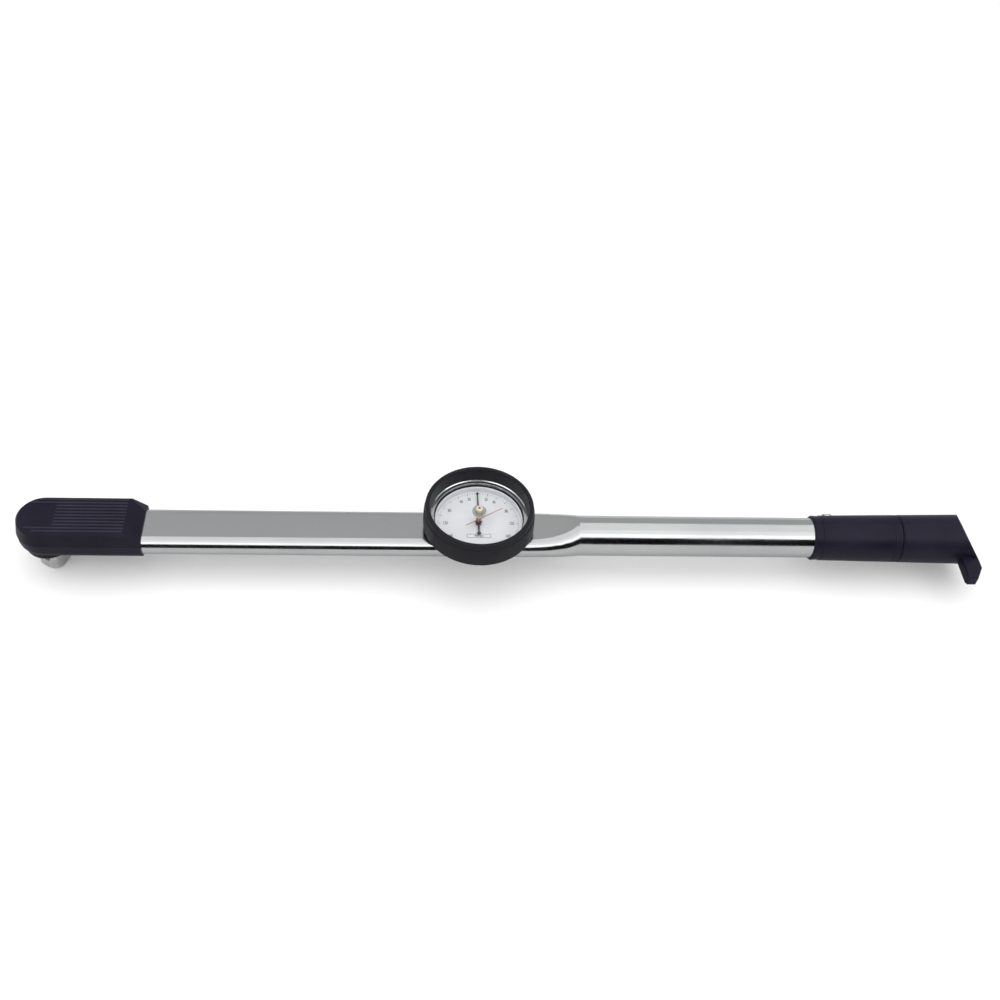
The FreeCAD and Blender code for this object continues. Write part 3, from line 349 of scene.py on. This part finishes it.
def lettering(name, labels, low):
    """One mesh with every label, given as text, x, y, height and width factor, lying face up."""
    cap_share = 0.70            # height of a capital over the font's size
    half_thick = 0.01 * MM
    merged = bmesh.new()
    for text, x, y, height, squeeze in labels:
        curve = bpy.data.curves.new("label", "FONT")
        curve.body = text
        curve.align_x = "CENTER"
        curve.align_y = "CENTER"
        curve.size = height / cap_share
        curve.extrude = half_thick
        curve.offset = 0.015 * height
        holder = bpy.data.objects.new("label", curve)
        mesh = bpy.data.meshes.new_from_object(holder)
        placed = Matrix.Translation((x, y, low + half_thick))
        mesh.transform(placed @ Matrix.Diagonal((squeeze, 1.0, 1.0, 1.0)))
        merged.from_mesh(mesh)
        bpy.data.objects.remove(holder)
        bpy.data.meshes.remove(mesh)
        bpy.data.curves.remove(curve)
    mesh = bpy.data.meshes.new(name)
    merged.to_mesh(mesh)
    merged.free()
    return mesh


piece("dial_ticks", mesh_from("dial_ticks", scale_ticks), "bezel", "dial_black")
piece("dial_zero_mark", mesh_from("dial_zero_mark", zero_mark), "bezel", "dial_black")
number_labels = []
for value in NUMBERS:
    for side in (1, -1):
        number_x, number_y = on_dial(NUMBER_RADIUS, side * value * DEGREES_PER_UNIT)
        number_labels.append((str(value), number_x, number_y, NUMBER_HEIGHT, 0.62))
piece("dial_numbers", lettering("dial_numbers", number_labels, INK_LOW), "bezel", "dial_black")

BAR_Y = DIAL_Y - 9.4 * MM
BAR_HALF_LONG = 6.7 * MM
BAR_HALF_TALL = 1.3 * MM


def ink_bar(shape, x_low, x_high, y_low, y_high):
    """A printed rectangle."""
    corners = [(x_low, y_low), (x_high, y_low), (x_high, y_high), (x_low, y_high)]
    prism(shape, corners, INK_LOW, INK_HIGH)


def unit_frame(shape):
    """Thin rectangular frame round the unit, one bar for each side."""
    half_line = 0.11 * MM
    for sign in (1, -1):
        edge = BAR_Y + sign * BAR_HALF_TALL
        ink_bar(shape, DIAL_X - BAR_HALF_LONG, DIAL_X + BAR_HALF_LONG, edge - half_line, edge + half_line)
        side = DIAL_X + sign * BAR_HALF_LONG
        ink_bar(shape, side - half_line, side + half_line, BAR_Y - BAR_HALF_TALL, BAR_Y + BAR_HALF_TALL)


piece("dial_unit_frame", mesh_from("dial_unit_frame", unit_frame), "bezel", "dial_black")
unit_labels = [("N·m", DIAL_X, BAR_Y, 1.7 * MM, 1.15)]
piece("dial_unit", lettering("dial_unit", unit_labels, INK_LOW), "bezel", "dial_black")

KNOB_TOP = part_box("reset_knob")[1][2]


def knob_dot(shape):
    """Black disc on the floor of the recess in the knob's top: painted shade for the recess."""
    radius = 0.66 * MM
    recess = 0.39 * MM
    thick = 0.1 * MM
    sides = 24
    turns = [2 * math.pi * i / sides for i in range(sides)]
    corners = [(DIAL_X + radius * math.cos(turn), DIAL_Y + radius * math.sin(turn)) for turn in turns]
    low = KNOB_TOP - recess
    prism(shape, corners, low, low + thick)


# the black disc in the knob's recess is painted shade
piece("knob_dot", mesh_from("knob_dot", knob_dot), "memory", "dial_black")


# ---------------------------------------------------------------- studio

def stage_sheet(name, corners, colour, roughness):
    """Flat four-cornered sheet for the studio, with slightly uneven paint."""
    mesh = bpy.data.meshes.new(name)
    mesh.from_pydata(corners, [], [tuple(range(len(corners)))])
    sheet = bpy.data.objects.new(name, mesh)
    scene.collection.objects.link(sheet)
    material, tree, shader, place = blank_material(name)
    paint = noise_node(tree, place, 3.0, 3.0)
    darker = tuple(0.97 * channel for channel in colour)
    tree.links.new(mix_node(tree, paint, colour, darker), shader.inputs["Base Color"])
    shader.inputs["Roughness"].default_value = roughness
    mesh.materials.append(material)
    return sheet


FLOOR_HALF = 6.0
floor_corners = [(x * FLOOR_HALF, y * FLOOR_HALF, 0.0) for x, y in ((-1, -1), (1, -1), (1, 1), (-1, 1))]
stage_sheet("floor", floor_corners, (0.88, 0.88, 0.88), 0.9)

MIDDLE = Vector((0.25, 0.0, 0.025))     # of the wrench
CARD_LEFT = -3.0
CARD_RIGHT = 3.5
CARD_AWAY = 1.6
CARD_FOOT = -1.3                        # y where the dark card meets the floor
FLOOR_LIFT = 0.0005                     # of the card that lies on the floor


def reflection_card(name, near, far, colour, glow=0.0):
    """Long sheet that only shiny surfaces see, between two edges given as (y, z)."""
    corners = [(CARD_LEFT,) + near, (CARD_RIGHT,) + near, (CARD_RIGHT,) + far, (CARD_LEFT,) + far]
    sheet = stage_sheet(name, corners, colour, 1.0)
    shader = sheet.data.materials[0].node_tree.nodes["Principled BSDF"]
    shader.inputs["Specular IOR Level"].default_value = 0.0
    shader.inputs["Emission Color"].default_value = (1.0, 1.0, 1.0, 1.0)
    shader.inputs["Emission Strength"].default_value = glow
    sheet.visible_camera = False
    sheet.visible_diffuse = False
    sheet.visible_shadow = False
    sheet.visible_transmission = False
    return sheet


def leaning(degrees):
    """Edge of a card at an angle from straight up, towards the viewer's side, as (y, z)."""
    angle = math.radians(degrees)
    return (MIDDLE.y - CARD_AWAY * math.sin(angle), MIDDLE.z + CARD_AWAY * math.cos(angle))


BLACK = (0.002, 0.002, 0.003)
reflection_card("overhead_card", leaning(-35.0), leaning(8.0), BLACK, 0.98)
reflection_card("forward_card", leaning(8.0), leaning(31.0), BLACK, 1.16)
reflection_card("bright_card", leaning(31.0), leaning(51.0), BLACK, 1.7)
reflection_card("dark_card", leaning(51.0), (CARD_FOOT, 0.0), BLACK)
reflection_card("floor_card", (CARD_FOOT, FLOOR_LIFT), (0.5, FLOOR_LIFT), (0.50, 0.50, 0.50))

world = bpy.data.worlds.new("studio")
world.use_nodes = True
sky = world.node_tree.nodes["Background"]
sky.inputs["Color"].default_value = (1.0, 1.0, 1.0, 1.0)
sky.inputs["Strength"].default_value = 0.46
scene.world = world


def hang_light(name, lamp):
    """Put a lamp in the studio; shiny surfaces see the cards and not the lamp."""
    holder = bpy.data.objects.new(name, lamp)
    holder.visible_glossy = False
    scene.collection.objects.link(holder)
    return holder


def soft_light(name, degrees_forward, distance, long, tall, radiance):
    """Area light over the wrench, leaning towards the viewer's side by an angle from straight up."""
    lamp = bpy.data.lights.new(name, "AREA")
    lamp.shape = "RECTANGLE"
    lamp.size = long
    lamp.size_y = tall
    lamp.energy = radiance * math.pi * long * tall
    holder = hang_light(name, lamp)
    lean = math.radians(degrees_forward)
    holder.location = MIDDLE + distance * Vector((0.0, -math.sin(lean), math.cos(lean)))
    holder.rotation_euler = (MIDDLE - holder.location).to_track_quat("-Z", "Y").to_euler()


soft_light("overhead_light", -4.0, 1.6, 3.4, 1.95, 1.25)
soft_light("front_light", 39.0, 1.6, 3.4, 0.62, 2.2)

fill = bpy.data.lights.new("fill_light", "SUN")
fill.energy = 0.5
fill.angle = math.radians(150.0)
hang_light("fill_light", fill)

scene.view_settings.view_transform = "Standard"


# ---------------------------------------------------------------- camera

PLACE = Vector((0.2037, -0.4517, 0.5460))
TURN = math.radians(-4.85)
RISE = math.radians(48.95)
ROLL = math.radians(4.2)
backward = Vector((math.sin(TURN) * math.cos(RISE), -math.cos(TURN) * math.cos(RISE), math.sin(RISE)))
right = Vector((math.cos(TURN), math.sin(TURN), 0.0))
up = backward.cross(right)
rolled_right = math.cos(ROLL) * right + math.sin(ROLL) * up
rolled_up = math.cos(ROLL) * up - math.sin(ROLL) * right
lens = bpy.data.cameras.new("camera")
lens.sensor_fit = "HORIZONTAL"
lens.sensor_width = 36.0
lens.lens = 43.43
lens.shift_x = 0.0223
lens.shift_y = 0.0346
lens.clip_start = 0.01
camera = bpy.data.objects.new("camera", lens)
pose = Matrix((rolled_right, rolled_up, backward)).transposed().to_4x4()
pose.translation = PLACE
camera.matrix_world = pose
scene.collection.objects.link(camera)
scene.camera = camera
